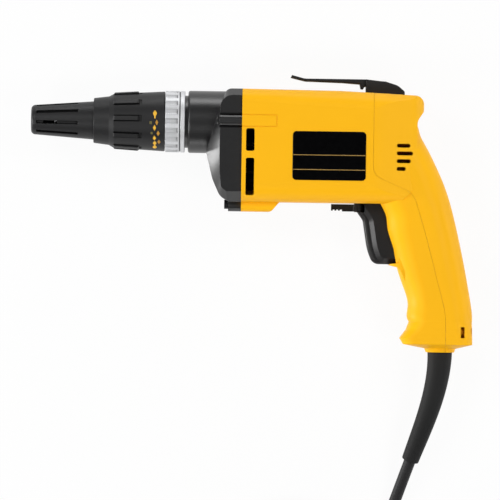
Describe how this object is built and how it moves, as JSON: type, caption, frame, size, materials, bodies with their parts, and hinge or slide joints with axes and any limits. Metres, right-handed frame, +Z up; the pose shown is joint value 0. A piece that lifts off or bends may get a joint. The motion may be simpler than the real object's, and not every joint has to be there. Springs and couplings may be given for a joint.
{
  "type": "corded drywall screwdriver",
  "caption": "Corded pistol-grip drywall screwgun lying on its side, with a turning depth collar on a pull-off nosepiece, belt hook, trigger, reversing lever and a tapered cord sleeve.",
  "frame": {"origin": "on the table, under the motor axis, on the flat right side that the tool lies on", "axes": "+X runs along the tool from the nose to the handle, +Y is the tool's own top, +Z is up from the table"},
  "size_m": [0.3025, 0.4338, 0.0681],
  "materials": {
    "housing_yellow": "moulded yellow nylon, fine satin grain",
    "case_black": "black glass-filled nylon, satin",
    "nose_black": "black moulded plastic, satin",
    "collar_black": "black moulded plastic, fine grain",
    "ring_silver": "bright cast aluminium, fine machining",
    "label_black": "smooth black plate, no lettering",
    "hook_black": "black coated steel strip",
    "trigger_black": "black moulded plastic",
    "screw_steel": "zinc-plated steel",
    "screw_black": "black oxide steel",
    "hardened_steel": "ground steel",
    "bearing_steel": "polished bearing steel",
    "spring_steel": "drawn spring wire",
    "bronze": "sintered bronze",
    "brush_brass": "stamped brass",
    "carbon": "carbon brush",
    "lamination": "stacked steel laminations",
    "copper_winding": "lacquered copper wire",
    "commutator_copper": "bare copper bars",
    "fan_grey": "cast fan",
    "plate_metal": "die-cast plate",
    "inner_plastic": "dark switch plastic",
    "rubber_black": "moulded black rubber",
    "cord_rubber": "black rubber cord jacket",
    "blade_brass": "plated brass blades",
    "magnet_grey": "nickel-plated magnet",
    "tie_black": "black strap"
  },
  "bodies": {
    "tool": {"motor_housing": "housing_yellow", "rear_cover": "housing_yellow", "gear_case": "case_black", "bearing_plate": "plate_metal", "gear_case_screws": "screw_black", "cover_screws": "screw_black", "label_plate": "label_black", "belt_hook": "hook_black", "belt_hook_screw": "screw_steel", "spindle_bush": "bronze", "nose_seal": "rubber_black", "front_bearing": "bearing_steel", "rear_bearing": "bearing_steel", "fan_baffle": "inner_plastic", "field_core": "lamination", "field_coils": "copper_winding", "brushes": "carbon", "brush_holders": "brush_brass", "brush_springs": "spring_steel", "switch_body": "inner_plastic", "clutch_spring": "spring_steel", "cord_relief": "rubber_black", "cord_clamp": "inner_plastic", "clamp_screws": "screw_steel", "cord_lead": "cord_rubber", "cord_coil": "cord_rubber", "cord_tie": "tie_black", "plug_body": "rubber_black", "plug_blades": "blade_brass"},
    "armature": {"armature_shaft": "hardened_steel", "armature_core": "lamination", "armature_windings": "copper_winding", "commutator": "commutator_copper", "cooling_fan": "fan_grey"},
    "drive_gear": {"clutch_gear": "hardened_steel"},
    "spindle_carrier": {"thrust_washer": "hardened_steel"},
    "spindle": {"spindle": "hardened_steel", "retaining_clip": "spring_steel", "retaining_ball": "bearing_steel", "bit_holder": "hardened_steel", "bit_magnet": "magnet_grey"},
    "nosepiece": {"depth_ring": "ring_silver"},
    "collar": {"depth_collar": "collar_black"},
    "nose": {"nose_cone": "nose_black"},
    "trigger": {"trigger": "trigger_black"},
    "reversing_lever": {"reversing_lever": "trigger_black"}
  },
  "joints": [
    {"name": "armature_spin", "type": "hinge", "parent": "tool", "child": "armature", "pos_m": [0, 0, 0.034], "axis": [1, 0, 0], "continuous": true},
    {"name": "gear_spin", "type": "hinge", "parent": "tool", "child": "drive_gear", "pos_m": [-0.059, 0.016, 0.034], "axis": [1, 0, 0], "continuous": true},
    {"name": "spindle_push", "type": "slide", "parent": "tool", "child": "spindle_carrier", "axis": [1, 0, 0], "range_m": [0, 0.003], "stiffness_N_per_m": 3000, "springref_m": -0.004, "deforming": ["clutch_spring"]},
    {"name": "spindle_spin", "type": "hinge", "parent": "spindle_carrier", "child": "spindle", "pos_m": [-0.1, 0.016, 0.034], "axis": [1, 0, 0], "continuous": true},
    {"name": "nosepiece_pull", "type": "slide", "parent": "tool", "child": "nosepiece", "axis": [-1, 0, 0], "range_m": [0, 0.095]},
    {"name": "collar_turn", "type": "hinge", "parent": "nosepiece", "child": "collar", "pos_m": [-0.12, 0.016, 0.034], "axis": [1, 0, 0], "range_deg": [-180, 180]},
    {"name": "nose_depth", "type": "slide", "parent": "nosepiece", "child": "nose", "axis": [-1, 0, 0], "range_m": [-0.00251, 0.00251]},
    {"name": "trigger_pull", "type": "slide", "parent": "tool", "child": "trigger", "axis": [1, 0, 0], "range_m": [0, 0.006], "stiffness_N_per_m": 700, "springref_m": -0.005},
    {"name": "reverser_swing", "type": "hinge", "parent": "tool", "child": "reversing_lever", "pos_m": [0.033, -0.038, 0.034], "axis": [0, 1, 0], "range_deg": [-12, 12]}
  ],
  "couplings": [
    {"joint": "gear_spin", "follows": "armature_spin", "ratio": -0.2},
    {"joint": "nose_depth", "follows": "collar_turn", "m_per_rad": 0.00079577}
  ]
}
